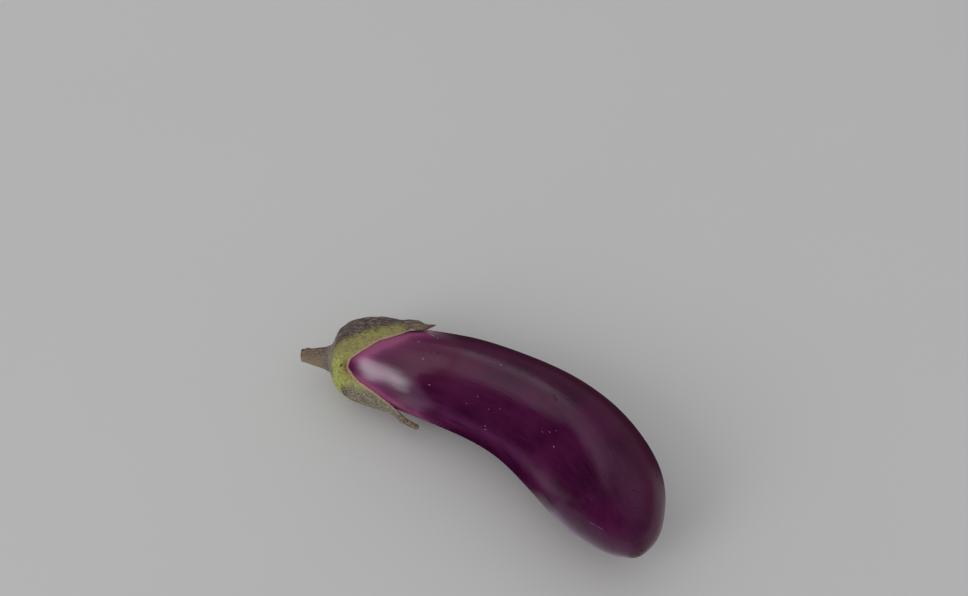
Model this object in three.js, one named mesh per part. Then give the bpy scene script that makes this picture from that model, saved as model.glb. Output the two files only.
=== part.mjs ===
// Eggplant: one slender, curved fruit with its calyx and a short cut stem, lying on its side.
// Units are millimetres, +Z is up, and the fruit rests on z = 0. The stem end points to -X,
// the blossom end to +X, and the fruit bulges sideways towards +Y.
import * as THREE from 'three';

// ---------------------------------------------------------------- driving dimensions
const FRUIT_LENGTH = 169.51;        // length of the fruit along its curved centre line
// Heading of the centre line, in degrees from +X, as a polynomial of the fraction of the length
const HEADING = [-544.53, 1552.406, -1537.915, 579.081, -119.931, 31.529];
// Body profile: control radii at these fractions of the length, between the two poles
const STATIONS = [0.055, 0.125, 0.22, 0.33, 0.44, 0.55, 0.66, 0.76, 0.85, 0.92, 0.965];
const RADII = [14.97, 16.62, 18.09, 20.37, 20.90, 22.99, 24.98, 24.59, 22.80, 16.49, 11.20];
const STEM_POLE = { inset: 2.082, radius: 8.21 };      // first control ring at the stem end
const BLOSSOM_POLE = { inset: 3.056, radius: 6.73 };   // last control ring at the blossom end
// Height of the centre line over the table: the neck lies lower than the belly
const BELLY_HEIGHT = 23.5;
const BELLY_STATION = 108;
const AXIS_RISE = 0.052;
const FLAT_BLEND = 0.25;            // the belly's resting flat blends into the round over this depth

const SKIN_GAP = 0.35;              // between the fruit and the calyx that sits on it
const CALYX_CROWN = 0.8;            // calyx thickness under the stem
const CALYX_THICK = 1.8;            // calyx thickness on the shoulder
const CALYX_RIM = 1.0;              // calyx thickness at its free edge
const CROWN_SEAT = -1.1;            // axial place of the flat seat that the stem stands on
// Free edge of the calyx: angle round the neck (0 = left of the axis, 90 = up) and distance
// from the pole along the skin. The peaks are the lobe tips and the valleys the notches.
const CALYX_EDGE = [
  [8, 51.0], [13, 46.0], [20, 37.5], [26, 35.5], [32, 41.0], [38, 45.0], [45, 44.3], [60, 40.3],
  [71, 37.1], [80, 33.6], [88, 29.7], [100, 26.3], [110, 22.7], [117, 20.7], [126, 18.7],
  [135, 18.2], [143, 19.8], [153, 23.2], [160, 27.3], [168, 32.5], [177, 37.1], [184, 40.3],
  [192, 44.1], [200, 50.0], [205, 54.5], [210, 49.5], [217, 40.0], [226, 31.0], [236, 25.5],
  [246, 28.0], [258, 33.5], [270, 37.5], [281, 33.0], [292, 25.0], [304, 30.0], [314, 38.0],
  [320, 42.0], [326, 38.0], [336, 30.0], [345, 26.5], [354, 33.0], [362, 44.0],
];
// Tips that stand off the skin: angle, half-width in degrees, where the lift starts, its height
const LIFTS = [
  { at: 36, wide: 24, from: 24, to: 45, rise: 1.4 },
  { at: 205, wide: 20, from: 30, to: 53, rise: 2.8 },
  { at: 8, wide: 14, from: 28, to: 51, rise: 5.0 },
  { at: 270, wide: 20, from: 16, to: 32, rise: 0.9 },
  { at: 320, wide: 16, from: 26, to: 42, rise: 1.5 },
];
// Midribs that thicken the calyx: angle, half-width in degrees, where along the skin, height
const RIBS = [
  { at: 36, wide: 26, from: 5, to: 40, rise: 1.1 },
  { at: 205, wide: 26, from: 5, to: 42, rise: 0.7 },
];

const STEM_GAP = 0.3;               // between the seat and the stem
const STEM_LENGTH = 12.4;
const STEM_HEADING = 31.0;          // heading of the stem's axis, degrees from +X
const STEM_RISE = 0.03;             // and its slope
const STEM_BASE_SHIFT = [-0.7, -0.8]; // base centre off the fruit's pole, sideways and up
// Stem radius at fractions of its length, from the seat to the cut end
const STEM_RADII = [[0, 5.3], [0.1, 4.9], [0.28, 4.35], [0.5, 3.75], [0.72, 3.15], [0.9, 2.75], [1, 2.6]];

// Mesh resolution
const AROUND = 48;
const FRUIT_STEPS = 2;              // steps per profile span
const CROWN_RINGS = [2.5, 5, 7.5, 10, 12.5, 15];   // calyx rings that go all the way round, by arc
const LOBE_RINGS = [0.18, 0.38, 0.58, 0.80, 1];    // and the rest, by share of the way to the edge
const STEM_SIDES = 20;

const rad = THREE.MathUtils.degToRad;

// ---------------------------------------------------------------- centre line and profile
const CENTRE_STEPS = 600;
const centre = (() => {
  const pts = [new THREE.Vector2(0, 0)];
  const ds = FRUIT_LENGTH / CENTRE_STEPS;
  for (let i = 0; i < CENTRE_STEPS; i++) {
    const a = heading((i + 0.5) * ds);
    const p = pts[i];
    pts.push(new THREE.Vector2(p.x + Math.cos(a) * ds, p.y + Math.sin(a) * ds));
  }
  return pts;
})();

function heading(s) {
  const x = THREE.MathUtils.clamp(s / FRUIT_LENGTH, 0, 1);
  return rad(HEADING.reduce((sum, c) => sum * x + c, 0));
}

function centreAt(s) {
  const u = THREE.MathUtils.clamp(s / FRUIT_LENGTH, 0, 1) * CENTRE_STEPS;
  const i = Math.min(Math.floor(u), CENTRE_STEPS - 1);
  const p = centre[i].clone().lerp(centre[i + 1], u - i);
  return new THREE.Vector3(p.x, p.y, BELLY_HEIGHT + AXIS_RISE * (s - BELLY_STATION));
}

// Uniform cubic B-spline through the poles: returns [station, radius] pairs
function bodyProfile(steps) {
  const rings = STATIONS.map((f, i) => [f * FRUIT_LENGTH, RADII[i]]);
  const first = [STEM_POLE.inset, STEM_POLE.radius];
  const last = [FRUIT_LENGTH - BLOSSOM_POLE.inset, BLOSSOM_POLE.radius];
  const poly = [
    [first[0], -first[1]], [-STEM_POLE.inset / 2, 0], first, ...rings, last,
    [FRUIT_LENGTH + BLOSSOM_POLE.inset / 2, 0], [last[0], -last[1]],
  ];
  const out = [];
  for (let i = 0; i < poly.length - 3; i++) {
    const n = i === poly.length - 4 ? steps + 1 : steps;
    for (let k = 0; k < n; k++) {
      const t = k / steps;
      const w = [(1 - t) ** 3, 3 * t ** 3 - 6 * t ** 2 + 4, -3 * t ** 3 + 3 * t ** 2 + 3 * t + 1, t ** 3];
      out.push([0, 1].map((c) => w.reduce((sum, wi, j) => sum + wi * poly[i + j][c], 0) / 6));
    }
  }
  return out;
}

// Fine profile with its arc length, for points placed by their distance along the skin
const fine = (() => {
  const p = bodyProfile(24);
  let arc = 0;
  return p.map((q, i) => {
    if (i) arc += Math.hypot(q[0] - p[i - 1][0], q[1] - p[i - 1][1]);
    return [arc, q[0], Math.max(q[1], 0)];
  });
})();

function profileAt(arc) {
  let i = 1;
  while (i < fine.length - 1 && fine[i][0] < arc) i++;
  const [a0, s0, r0] = fine[i - 1];
  const [a1, s1, r1] = fine[i];
  const t = (arc - a0) / (a1 - a0);
  return [s0 + (s1 - s0) * t, Math.max(r0 + (r1 - r0) * t, 0)];
}

function skinPoint(s, r, angle) {
  const h = heading(s);
  const side = new THREE.Vector3(-Math.sin(h), Math.cos(h), 0);
  return centreAt(s).addScaledVector(side, r * Math.cos(angle)).add(new THREE.Vector3(0, 0, r * Math.sin(angle)));
}

// The belly is pressed flat where it meets the table
function pressFlat(p, blend) {
  if (p.z <= -blend) p.z = 0;
  else if (p.z < blend) p.z = (p.z + blend) ** 2 / (4 * blend);
  return p;
}

// ---------------------------------------------------------------- mesh helper
// Rings of equal count, closed by a single point at each end
function ringSolid(rings, startPoint, endPoint) {
  const n = rings[0].length;
  const verts = [startPoint, ...rings.flat(), endPoint];
  const at = (i, j) => 1 + i * n + (j % n);
  const end = verts.length - 1;
  const index = [];
  for (let j = 0; j < n; j++) {
    index.push(0, at(0, j), at(0, j + 1));
    index.push(end, at(rings.length - 1, j + 1), at(rings.length - 1, j));
  }
  for (let i = 0; i < rings.length - 1; i++) {
    for (let j = 0; j < n; j++) {
      index.push(at(i, j), at(i + 1, j), at(i + 1, j + 1));
      index.push(at(i, j), at(i + 1, j + 1), at(i, j + 1));
    }
  }
  return solid(verts, index);
}

// Builds the geometry and turns every face outwards
function solid(verts, index) {
  let volume = 0;
  for (let i = 0; i < index.length; i += 3) {
    const [a, b, c] = [verts[index[i]], verts[index[i + 1]], verts[index[i + 2]]];
    volume += a.dot(new THREE.Vector3().crossVectors(b, c)) / 6;
  }
  const faces = [];
  for (let i = 0; i < index.length; i += 3) {
    if (volume > 0) faces.push(index[i], index[i + 1], index[i + 2]);
    else faces.push(index[i], index[i + 2], index[i + 1]);
  }
  const geometry = new THREE.BufferGeometry();
  geometry.setAttribute('position', new THREE.Float32BufferAttribute(verts.flatMap((v) => [v.x, v.y, v.z]), 3));
  geometry.setIndex(faces);
  geometry.computeVertexNormals();
  return geometry;
}

// ---------------------------------------------------------------- fruit
function fruitGeometry() {
  const profile = bodyProfile(FRUIT_STEPS);
  const rings = profile.slice(1, -1).map(([s, r]) => {
    const ring = [];
    for (let j = 0; j < AROUND; j++) {
      // samples crowd together at the underside, so that the flat has a true outline
      const u = (j / AROUND) * 2 * Math.PI;
      const angle = u - 0.45 * Math.sin(u - 1.5 * Math.PI);
      ring.push(pressFlat(skinPoint(s, r, angle), FLAT_BLEND));
    }
    return ring;
  });
  return ringSolid(rings, skinPoint(0, 0, 0), skinPoint(FRUIT_LENGTH, 0, 0));
}

// ---------------------------------------------------------------- calyx
// Monotone cubic through the edge table, periodic in the angle
const edgeAt = (() => {
  const n = CALYX_EDGE.length;
  const x = (i) => CALYX_EDGE[((i % n) + n) % n][0] + 360 * Math.floor(i / n);
  const y = (i) => CALYX_EDGE[((i % n) + n) % n][1];
  const slope = (i) => (y(i + 1) - y(i)) / (x(i + 1) - x(i));
  const tangent = (i) => {
    const [a, b] = [slope(i - 1), slope(i)];
    return a * b <= 0 ? 0 : (2 * a * b) / (a + b);
  };
  return (deg) => {
    let d = deg;
    while (d < x(0)) d += 360;
    while (d >= x(n)) d -= 360;
    let i = 0;
    while (x(i + 1) <= d) i++;
    const w = x(i + 1) - x(i);
    const t = (d - x(i)) / w;
    const [h00, h10] = [(1 + 2 * t) * (1 - t) ** 2, t * (1 - t) ** 2];
    const [h01, h11] = [t * t * (3 - 2 * t), t * t * (t - 1)];
    return h00 * y(i) + h10 * w * tangent(i) + h01 * y(i + 1) + h11 * w * tangent(i + 1);
  };
})();

const turn = (a, b) => Math.abs(((a - b + 540) % 360) - 180);

function liftAt(deg, arc) {
  let lift = 0;
  for (const { at, wide, from, to, rise } of LIFTS) {
    const across = Math.exp(-((turn(deg, at) / wide) ** 2));
    const along = THREE.MathUtils.smoothstep(arc, from, to) ** 1.3;
    lift += rise * across * along;
  }
  return lift;
}

function ribAt(deg, arc) {
  return RIBS.reduce((sum, { at, wide, from, to, rise }) => {
    const along = THREE.MathUtils.smoothstep(arc, from, from + 8) * (1 - THREE.MathUtils.smoothstep(arc, to - 12, to));
    return sum + rise * Math.exp(-((turn(deg, at) / wide) ** 2)) * along;
  }, 0);
}

function calyxPoint(deg, arc, height) {
  const angle = rad(deg);
  const e = 0.15;
  const at = (a, g) => {
    const [s, r] = profileAt(Math.max(a, 0));
    return skinPoint(s, r, g);
  };
  const p = at(arc, angle);
  const h = heading(0);
  let normal = new THREE.Vector3(-Math.cos(h), -Math.sin(h), 0);
  if (arc > 0.5) {
    const along = at(arc + e, angle).sub(at(arc - e, angle));
    const round = at(arc, angle + 0.01).sub(at(arc, angle - 0.01));
    normal = new THREE.Vector3().crossVectors(round, along).normalize();
    if (normal.dot(p.clone().sub(centreAt(profileAt(arc)[0] + 3))) < 0) normal.negate();
  }
  return p.addScaledVector(normal, height);
}

const poleAxis = new THREE.Vector3(Math.cos(heading(0)), Math.sin(heading(0)), 0);

function seatCrown(p) {
  const axial = p.clone().sub(centreAt(0)).dot(poleAxis);
  return axial < CROWN_SEAT ? p.addScaledVector(poleAxis, CROWN_SEAT - axial) : p;
}

function calyxGeometry() {
  const angles = [];
  for (let i = 0; i < CALYX_EDGE.length; i++) {
    const a = CALYX_EDGE[i][0];
    const b = i + 1 < CALYX_EDGE.length ? CALYX_EDGE[i + 1][0] : CALYX_EDGE[0][0] + 360;
    angles.push(a);
    if (b - a > 9) angles.push((a + b) / 2);
  }
  const outer = [];
  const inner = [];
  const base = CROWN_RINGS[CROWN_RINGS.length - 1];
  const steps = [...CROWN_RINGS.map((a) => [a, 0]), ...LOBE_RINGS.map((f) => [base, f])];
  for (const [start, share] of steps) {
    const ringOut = [];
    const ringIn = [];
    for (const deg of angles) {
      const arc = start + (edgeAt(deg) - start) * share;
      const t = arc / edgeAt(deg);
      const lift = liftAt(deg, arc);
      const body = THREE.MathUtils.lerp(CALYX_CROWN, CALYX_THICK, THREE.MathUtils.smoothstep(arc, 3, 11));
      const thick = ribAt(deg, arc) + THREE.MathUtils.lerp(body, CALYX_RIM, THREE.MathUtils.smoothstep(t, 0.5, 1));
      const low = calyxPoint(deg, arc, SKIN_GAP + lift);
      const high = seatCrown(calyxPoint(deg, arc, SKIN_GAP + lift + thick));
      high.z = Math.max(high.z, 0);
      low.z = Math.max(low.z, 0.3);
      ringOut.push(high);
      ringIn.push(low);
    }
    outer.push(ringOut);
    inner.push(ringIn);
  }
  const rings = [...outer, ...inner.reverse()];
  return ringSolid(rings, seatCrown(calyxPoint(0, 0, SKIN_GAP + CALYX_CROWN)), calyxPoint(0, 0, SKIN_GAP));
}

// ---------------------------------------------------------------- stem
function stemGeometry() {
  const h = rad(STEM_HEADING);
  const axis = new THREE.Vector3(Math.cos(h), Math.sin(h), STEM_RISE).normalize();
  const side = new THREE.Vector3(-Math.sin(h), Math.cos(h), 0);
  const up = new THREE.Vector3().crossVectors(axis, side);
  const seat = centreAt(0).addScaledVector(poleAxis, CROWN_SEAT - STEM_GAP)
    .addScaledVector(side, STEM_BASE_SHIFT[0]).add(new THREE.Vector3(0, 0, STEM_BASE_SHIFT[1]));
  const rings = STEM_RADII.map(([f, r]) => {
    const ring = [];
    for (let j = 0; j < STEM_SIDES; j++) {
      const a = (j / STEM_SIDES) * 2 * Math.PI;
      // five soft ribs run down the stem
      const rr = r * (1 + 0.035 * Math.cos(5 * a + 0.6));
      const p = seat.clone().addScaledVector(axis, -f * STEM_LENGTH)
        .addScaledVector(side, rr * Math.cos(a)).addScaledVector(up, rr * Math.sin(a));
      // the base is cut square to the fruit's axis, to stand on the flat seat
      if (f === 0) p.addScaledVector(poleAxis, CROWN_SEAT - STEM_GAP - p.clone().sub(centreAt(0)).dot(poleAxis));
      ring.push(p);
    }
    return ring;
  });
  const mean = (ring) => ring.reduce((sum, p) => sum.add(p), new THREE.Vector3()).divideScalar(ring.length);
  return ringSolid(rings, mean(rings[0]), mean(rings[rings.length - 1]));
}

// ---------------------------------------------------------------- assembly
const pieces = [
  ['fruit', fruitGeometry(), { color: 0x3a0a2c, roughness: 0.28, metalness: 0 }],
  ['calyx', calyxGeometry(), { color: 0x80865a, roughness: 0.75, metalness: 0 }],
  ['stem', stemGeometry(), { color: 0x7a6852, roughness: 0.8, metalness: 0 }],
];

// The origin is under the middle of the whole, on the table
const bounds = new THREE.Box3();
for (const [, geometry] of pieces) {
  geometry.computeBoundingBox();
  bounds.union(geometry.boundingBox);
}
const origin = new THREE.Vector3((bounds.min.x + bounds.max.x) / 2, (bounds.min.y + bounds.max.y) / 2, 0);

const eggplant = new THREE.Group();
for (const [name, geometry, look] of pieces) {
  geometry.translate(-origin.x, -origin.y, -origin.z);
  const mesh = new THREE.Mesh(geometry, new THREE.MeshStandardMaterial(look));
  mesh.name = name;
  eggplant.add(mesh);
}

export default eggplant;
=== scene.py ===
import math

import bpy
import numpy as np
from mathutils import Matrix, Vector, kdtree


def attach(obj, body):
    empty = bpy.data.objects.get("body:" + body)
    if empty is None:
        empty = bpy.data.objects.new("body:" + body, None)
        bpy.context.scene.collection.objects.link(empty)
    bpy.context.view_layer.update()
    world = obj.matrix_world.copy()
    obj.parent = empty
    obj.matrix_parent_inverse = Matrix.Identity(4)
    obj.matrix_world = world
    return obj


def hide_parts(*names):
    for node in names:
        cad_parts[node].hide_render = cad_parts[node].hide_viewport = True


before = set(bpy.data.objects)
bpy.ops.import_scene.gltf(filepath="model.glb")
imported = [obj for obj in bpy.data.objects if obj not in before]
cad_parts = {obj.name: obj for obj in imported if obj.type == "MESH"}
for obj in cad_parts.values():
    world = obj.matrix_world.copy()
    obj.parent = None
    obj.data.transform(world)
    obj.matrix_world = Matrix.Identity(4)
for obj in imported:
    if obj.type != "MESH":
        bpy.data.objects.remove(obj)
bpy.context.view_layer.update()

MM = 0.001
ORIGIN = np.array([73.63486481, 19.87808037, 0.0])

# ---------------------------------------------------------------- camera
camera_data = bpy.data.cameras.new("camera")
camera_data.lens = 62.754
camera_data.sensor_width = 36.0
camera_data.sensor_fit = "HORIZONTAL"
camera_data.clip_start = 0.01
camera_data.clip_end = 50.0
camera = bpy.data.objects.new("camera", camera_data)
bpy.context.scene.collection.objects.link(camera)
camera.location = (0.213955, -0.281076, 0.630069)
camera.rotation_euler = Vector((-0.34581303, 0.43944289, -0.82903757)).to_track_quat("-Z", "Y").to_euler()
bpy.context.scene.camera = camera

# ---------------------------------------------------------------- the fruit's form, as in the CAD model
FRUIT_LENGTH = 169.51
HEADING = [-544.53, 1552.406, -1537.915, 579.081, -119.931, 31.529]
STATIONS = [0.055, 0.125, 0.22, 0.33, 0.44, 0.55, 0.66, 0.76, 0.85, 0.92, 0.965]
RADII = [14.97, 16.62, 18.09, 20.37, 20.90, 22.99, 24.98, 24.59, 22.80, 16.49, 11.20]
STEM_POLE = (2.082, 8.21)
BLOSSOM_POLE = (3.056, 6.73)
BELLY_HEIGHT, BELLY_STATION, AXIS_RISE = 23.5, 108.0, 0.052
FLAT_BLEND = 0.25
CALYX_CROWN, CALYX_THICK, CALYX_RIM = 0.8, 1.8, 1.0
CROWN_SEAT = -1.1
CALYX_EDGE = [
    (8, 46.8), (12, 42.8), (19, 37.0), (25, 36.5), (30, 41.0), (34, 44.6), (40, 46.2), (47, 46.8),
    (52, 46.2), (57, 43.6), (61, 40.2), (71, 37.1), (80, 33.6), (88, 29.7), (100, 26.3), (110, 22.7), (117, 20.7), (126, 18.7),
    (135, 18.2), (143, 19.8), (153, 23.2), (160, 27.3), (168, 32.5), (177, 37.1), (184, 40.3),
    (192, 43.7), (197, 46.8), (200, 50.8), (202, 53.6), (204, 54.4), (207, 54.4), (209, 53.2), (211.5, 47.6),
    (216, 40.4), (226, 31.0), (236, 25.5), (246, 28.0), (258, 33.5), (270, 37.5), (281, 33.0),
    (292, 25.0), (304, 30.0), (314, 38.0), (320, 42.0), (326, 38.0), (336, 30.0), (345, 26.5),
    (354, 33.0), (362, 44.0),
]
# angle, half-width, arc from, arc to, rise
LIFTS = [(36, 24, 24, 45, 1.4), (205, 20, 30, 53, 2.8), (8, 14, 28, 51, 5.0), (270, 20, 16, 32, 0.9),
         (320, 16, 26, 42, 1.5)]
RIBS = [(36, 26, 5, 40, 1.1), (205, 26, 5, 42, 0.7)]
STEM_LENGTH, STEM_HEADING, STEM_RISE, STEM_GAP = 12.4, 31.0, 0.03, 0.3
STEM_BASE_SHIFT = (-0.7, -0.8)
STEM_RADII = [(0, 5.3), (0.1, 4.9), (0.28, 4.35), (0.5, 3.75), (0.72, 3.15), (0.9, 2.75), (1, 2.6)]


def smooth(x, a, b):
    t = np.clip((x - a) / (b - a), 0.0, 1.0)
    return t * t * (3.0 - 2.0 * t)


def lerp(a, b, t):
    return a + (b - a) * t


def hashed(ix, iy, iz, seed):
    h = (ix * 374761393 + iy * 668265263 + iz * 1442695041 + seed * 974634777) & 0xFFFFFFFF
    h = ((h ^ (h >> 13)) * 1274126177) & 0xFFFFFFFF
    h = ((h ^ (h >> 15)) * 2246822519) & 0xFFFFFFFF
    return ((h ^ (h >> 16)) & 0xFFFF) / 32767.5 - 1.0


def noise3(p, seed=0):
    """Smooth value noise of unit wavelength, about -1 to 1."""
    p = np.asarray(p, float)
    i = np.floor(p).astype(np.int64)
    f = p - i
    u = f * f * f * (f * (f * 6 - 15) + 10)
    out = 0.0
    for dx in (0, 1):
        for dy in (0, 1):
            for dz in (0, 1):
                w = ((u[..., 0] if dx else 1 - u[..., 0]) * (u[..., 1] if dy else 1 - u[..., 1])
                     * (u[..., 2] if dz else 1 - u[..., 2]))
                out = out + w * hashed(i[..., 0] + dx, i[..., 1] + dy, i[..., 2] + dz, seed)
    return out


def fractal(p, seed=0, octaves=3, gain=0.5):
    p = np.asarray(p, float)
    total, weight, out = 0.0, 1.0, 0.0
    for k in range(octaves):
        out = out + weight * noise3(p * 2.03 ** k + 17.3 * k, seed + 11 * k)
        total += weight
        weight *= gain
    return out / total


def heading(s):
    x = np.clip(np.asarray(s, float) / FRUIT_LENGTH, 0, 1)
    return np.radians(np.polyval(HEADING, x))


_steps = 600
_mid = (np.arange(_steps) + 0.5) * FRUIT_LENGTH / _steps
_ds = FRUIT_LENGTH / _steps
_centre_s = np.arange(_steps + 1) * _ds
_centre_x = np.r_[0, np.cumsum(np.cos(heading(_mid)) * _ds)]
_centre_y = np.r_[0, np.cumsum(np.sin(heading(_mid)) * _ds)]


def centre_at(s):
    return np.stack([np.interp(s, _centre_s, _centre_x) - ORIGIN[0],
                     np.interp(s, _centre_s, _centre_y) - ORIGIN[1],
                     BELLY_HEIGHT + AXIS_RISE * (s - BELLY_STATION)], -1)


def body_profile(steps):
    rings = [(f * FRUIT_LENGTH, r) for f, r in zip(STATIONS, RADII)]
    first = STEM_POLE
    last = (FRUIT_LENGTH - BLOSSOM_POLE[0], BLOSSOM_POLE[1])
    poly = np.array([(first[0], -first[1]), (-STEM_POLE[0] / 2, 0), first, *rings, last,
                     (FRUIT_LENGTH + BLOSSOM_POLE[0] / 2, 0), (last[0], -last[1])])
    out = []
    for i in range(len(poly) - 3):
        n = steps + 1 if i == len(poly) - 4 else steps
        for k in range(n):
            t = k / steps
            w = np.array([(1 - t) ** 3, 3 * t ** 3 - 6 * t ** 2 + 4, -3 * t ** 3 + 3 * t ** 2 + 3 * t + 1, t ** 3])
            out.append(w @ poly[i:i + 4] / 6)
    return np.array(out)


_fine = body_profile(24)
_fine_arc = np.r_[0, np.cumsum(np.hypot(*np.diff(_fine, axis=0).T))]
_fine_r = np.maximum(_fine[:, 1], 0)
SKIN_ARC = float(_fine_arc[-1])


def profile_at(arc):
    return np.interp(arc, _fine_arc, _fine[:, 0]), np.interp(arc, _fine_arc, _fine_r)


def skin(arc, phi):
    """Point of the smooth skin: arc from the stem pole in mm, phi round the axis in radians."""
    s, r = profile_at(np.clip(arc, 0, SKIN_ARC))
    h = heading(s)
    side = np.stack([-np.sin(h), np.cos(h), np.zeros_like(h)], -1)
    up = np.array([0.0, 0.0, 1.0])
    return centre_at(s) + side * (r * np.cos(phi))[..., None] + up * (r * np.sin(phi))[..., None]


POLE_AXIS = np.array([math.cos(float(heading(0))), math.sin(float(heading(0))), 0.0])
POLE = centre_at(np.array(0.0))


def skin_normal(arc, phi):
    along = skin(arc + 0.15, phi) - skin(np.maximum(arc - 0.15, 0), phi)
    # round the axis the direction is known even where the radius runs out
    s, r = profile_at(np.clip(arc, 0, SKIN_ARC))
    h = heading(s)
    side = np.stack([-np.sin(h), np.cos(h), np.zeros_like(h)], -1)
    up = np.array([0.0, 0.0, 1.0])
    around = side * (-np.sin(phi))[..., None] + up * np.cos(phi)[..., None]
    n = np.cross(around, along)
    out = side * np.cos(phi)[..., None] + up * np.sin(phi)[..., None]
    length = np.linalg.norm(n, axis=-1, keepdims=True)
    n = n / np.maximum(length, 1e-9)
    n = np.where((n * out).sum(-1, keepdims=True) < -1e-3, -n, n)
    return n


def grow(arc, phi):
    """Straightened coordinates in mm: across the growth in x and y, along it in z."""
    _, r = profile_at(np.clip(arc, 0, SKIN_ARC))
    return np.stack([r * np.cos(phi), r * np.sin(phi), arc + 0 * phi], -1)


def lumps(arc, phi):
    """Gentle unevenness of the skin, in mm."""
    g = grow(arc, phi)
    soft = 0.20 * noise3(g / 26 + 3.1, 1) + 0.09 * noise3(g / np.array([9, 9, 16]) + 8.7, 2)
    flutes = 0.07 * noise3(g / np.array([3.2, 3.2, 45]), 3) * np.exp(-arc / 55.0)
    near_pole = smooth(np.minimum(arc, SKIN_ARC - arc), 0, 14)
    return (soft + flutes) * near_pole


def press_flat(p):
    z = p[..., 2]
    b = FLAT_BLEND
    p[..., 2] = np.where(z <= -b, 0.0, np.where(z < b, (z + b) ** 2 / (4 * b), z))
    return p


# periodic monotone cubic through the edge table
_ex = np.array([e[0] for e in CALYX_EDGE], float)
_ey = np.array([e[1] for e in CALYX_EDGE], float)
_ex3 = np.concatenate([_ex - 360, _ex, _ex + 360])
_ey3 = np.concatenate([_ey, _ey, _ey])
_slope = np.diff(_ey3) / np.diff(_ex3)
_tan = np.zeros_like(_ex3)
_prod = _slope[:-1] * _slope[1:]
_tan[1:-1] = np.where(_prod > 0, 2 * _prod / np.where(_prod > 0, _slope[:-1] + _slope[1:], 1), 0)


def edge_at(deg):
    d = np.mod(np.asarray(deg, float), 360.0)
    i = np.clip(np.searchsorted(_ex3, d, side="right") - 1, 0, len(_ex3) - 2)
    w = _ex3[i + 1] - _ex3[i]
    t = (d - _ex3[i]) / w
    h00, h10 = (1 + 2 * t) * (1 - t) ** 2, t * (1 - t) ** 2
    h01, h11 = t * t * (3 - 2 * t), t * t * (t - 1)
    return h00 * _ey3[i] + h10 * w * _tan[i] + h01 * _ey3[i + 1] + h11 * w * _tan[i + 1]


def turn(a, b):
    return np.abs(np.mod(a - b + 540.0, 360.0) - 180.0)


def lift_at(deg, arc):
    return sum(rise * np.exp(-(turn(deg, at) / wide) ** 2) * smooth(arc, a, b) ** 1.3
               for at, wide, a, b, rise in LIFTS)


def rib_at(deg, arc):
    return sum(rise * np.exp(-(turn(deg, at) / wide) ** 2) * smooth(arc, a, a + 8) * (1 - smooth(arc, b - 12, b))
               for at, wide, a, b, rise in RIBS)


# ---------------------------------------------------------------- mesh helpers
def ring_faces(rows, cols, start, end):
    """Faces of closed rings of equal count. start and end are the first and last single points."""
    base = 1
    i, j = np.meshgrid(np.arange(rows - 1), np.arange(cols), indexing="ij")
    a = base + i * cols + j
    b = base + i * cols + (j + 1) % cols
    c = base + (i + 1) * cols + (j + 1) % cols
    d = base + (i + 1) * cols + j
    quads = np.stack([a, d, c, b], -1).reshape(-1, 4).tolist()
    k = np.arange(cols)
    head = np.stack([np.full(cols, start), base + k, base + (k + 1) % cols], -1).tolist()
    last = base + (rows - 1) * cols
    tail = np.stack([np.full(cols, end), last + (k + 1) % cols, last + k], -1).tolist()
    return quads + head + tail


def make_piece(name, verts, faces, body, node, material, attributes):
    """A closed piece from points in mm, its faces turned outwards."""
    verts = np.asarray(verts, float)
    volume = 0.0
    for size in (3, 4):
        f = np.array([q for q in faces if len(q) == size])
        if len(f):
            for k in range(1, size - 1):
                volume += np.einsum("ij,ij->i", verts[f[:, 0]], np.cross(verts[f[:, k]], verts[f[:, k + 1]])).sum()
    if volume < 0:
        faces = [list(reversed(q)) for q in faces]
    mesh = bpy.data.meshes.new(name)
    mesh.from_pydata((verts * MM).tolist(), [], faces)
    mesh.update()
    mesh.polygons.foreach_set("use_smooth", np.ones(len(mesh.polygons), bool))
    for key, value in attributes.items():
        value = np.asarray(value, np.float32)
        kind = "FLOAT_VECTOR" if value.ndim == 2 else "FLOAT"
        layer = mesh.attributes.new(key, kind, "POINT")
        layer.data.foreach_set("vector" if value.ndim == 2 else "value", value.ravel())
    mesh.materials.append(material)
    piece = bpy.data.objects.new(name, mesh)
    bpy.context.scene.collection.objects.link(piece)
    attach(piece, body)
    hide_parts(node)
    return piece


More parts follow.
